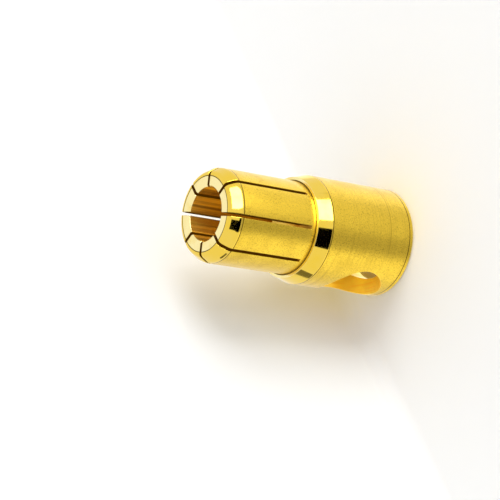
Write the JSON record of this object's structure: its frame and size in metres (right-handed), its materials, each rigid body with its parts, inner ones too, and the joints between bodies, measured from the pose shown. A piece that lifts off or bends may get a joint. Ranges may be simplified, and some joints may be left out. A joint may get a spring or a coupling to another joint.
{
  "type": "sprung pin battery lead connector plug",
  "caption": "Turned gold-plated plug with a slotted sprung contact pin at one end and a windowed solder cup for a battery lead at the other.",
  "frame": {"origin": "centre of the wire end's flat rim, on the axis, where the plug stands", "axes": "+Z along the axis from the wire end to the nose of the contact pin; -Y points out of the solder window"},
  "size_m": [0.0094, 0.0094, 0.0187],
  "materials": {
    "gold_plate": "gold plate over turned brass, satin with fine turning marks, polished on the two chamfers"
  },
  "bodies": {
    "root": {"plug": "gold_plate"}
  },
  "joints": []
}
